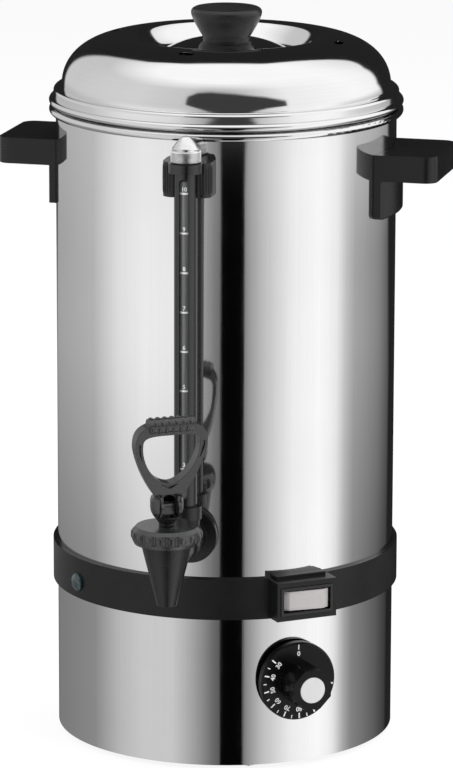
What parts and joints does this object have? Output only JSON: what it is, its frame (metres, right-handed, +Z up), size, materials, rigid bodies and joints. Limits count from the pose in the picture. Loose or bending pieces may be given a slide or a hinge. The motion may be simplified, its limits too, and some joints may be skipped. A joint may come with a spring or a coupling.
{
  "type": "hot drink dispenser",
  "caption": "Upright steel water urn with a lift-off lid, two side handles, a tall level gauge, a lever tap, a rocker switch, a pilot lamp and a thermostat dial",
  "frame": {"origin": "on the floor under the urn's axis, in the middle of the resting face", "axes": "+Z up along the urn's axis, the tap and level gauge point along -Y, the handles along -X and +X"},
  "size_m": [0.2962, 0.3367, 0.4849],
  "materials": {
    "steel_shell": "mirror polished stainless steel",
    "steel_hidden": "plain stainless sheet",
    "black_plastic": "black moulded plastic, satin",
    "black_gloss": "black moulded plastic, slightly glossy",
    "pale_plastic": "white moulded plastic",
    "rocker_grey": "light grey moulded plastic",
    "lens": "dark tinted clear plastic",
    "rubber": "black rubber",
    "silicone": "translucent silicone rubber",
    "steel_parts": "bright steel",
    "steel_screws": "plated steel",
    "aluminium": "cast aluminium",
    "copper": "drawn copper",
    "brass": "brass",
    "ceramic": "glazed ceramic and switch plastic",
    "element": "heat darkened steel sheath",
    "wire": "silicone insulated wire",
    "red_plastic": "red moulded plastic",
    "glass": "clear glass tube",
    "tap_black": "charcoal moulded plastic"
  },
  "bodies": {
    "urn": {"base_shell": "steel_shell", "base_plate": "steel_hidden", "feet": "rubber", "base_plate_screws": "steel_screws", "pot": "steel_shell", "band": "black_plastic", "band_screws": "steel_screws", "switch_bezel": "black_plastic", "switch_body": "black_gloss", "rocker_pin": "steel_parts", "pilot_lens": "lens", "pilot_holder": "ceramic", "thermostat_body": "ceramic", "thermostat_screws": "steel_screws", "capillary_tubes": "copper", "sensor_bulbs": "copper", "bulb_clamp": "steel_hidden", "heater_plate": "aluminium", "heating_element": "element", "element_terminals": "ceramic", "heat_shield": "steel_hidden", "boil_dry_cutout": "ceramic", "terminal_block": "ceramic", "earth_stud": "brass", "internal_wires": "wire", "lead_gland": "black_plastic", "gland_cap": "black_plastic", "gland_nut": "black_plastic", "gland_seal": "rubber", "left_handle": "black_plastic", "right_handle": "black_plastic", "handle_screws": "steel_screws", "gauge_bracket": "black_plastic", "gauge_bracket_screws": "steel_screws", "gauge_guard": "black_plastic", "gauge_glass": "glass", "gauge_seals": "rubber", "gauge_lower_nut": "black_plastic", "gauge_dome_nut": "steel_shell", "gauge_block": "black_plastic", "shank_seals": "rubber", "shank_nut": "steel_parts", "tap_body": "tap_black", "tap_bonnet": "tap_black"},
    "dial": {"thermostat_knob": "black_plastic", "knob_cap": "pale_plastic", "thermostat_shaft": "steel_parts"},
    "switch": {"rocker": "rocker_grey"},
    "cover": {"lid": "steel_shell", "lid_knob": "black_plastic", "lid_knob_screw": "steel_screws", "lid_knob_washer": "steel_parts"},
    "swivel": {"lever_cup": "tap_black"},
    "stem": {"tap_stem": "steel_parts", "seat_cup": "silicone", "lever_pin": "steel_parts", "tap_spring": "steel_parts"},
    "lever": {"tap_lever": "tap_black"},
    "reset": {"reset_button": "red_plastic"}
  },
  "joints": [
    {"name": "lid_lift", "type": "slide", "parent": "urn", "child": "cover", "axis": [0, 0, 1], "range_m": [0, 0.12]},
    {"name": "thermostat_turn", "type": "hinge", "parent": "urn", "child": "dial", "pos_m": [0, 0, 0.0595], "axis": [0.5736, -0.8192, 0], "range_deg": [-280, 0]},
    {"name": "rocker_tilt", "type": "hinge", "parent": "urn", "child": "switch", "pos_m": [0.07194, -0.09902, 0.1159], "axis": [0, 0, 1], "range_deg": [0, 12]},
    {"name": "lever_swivel", "type": "hinge", "parent": "urn", "child": "swivel", "pos_m": [0, -0.1855, 0.19], "axis": [0, 0, 1], "continuous": true},
    {"name": "stem_lift", "type": "slide", "parent": "swivel", "child": "stem", "axis": [0, 0, 1], "range_m": [0, 0.0035], "deforming": ["tap_spring"]},
    {"name": "lever_tilt", "type": "hinge", "parent": "stem", "child": "lever", "pos_m": [0, -0.1855, 0.1951], "axis": [0.8572, 0.515, 0], "range_deg": [0, 45], "stiffness_Nm_per_rad": 0.3},
    {"name": "reset_press", "type": "slide", "parent": "urn", "child": "reset", "axis": [0, 0, 1], "range_m": [0, 0.0016], "stiffness_N_per_m": 250}
  ],
  "couplings": [
    {"joint": "lever_tilt", "follows": "stem_lift", "rad_per_m": 224.39}
  ]
}
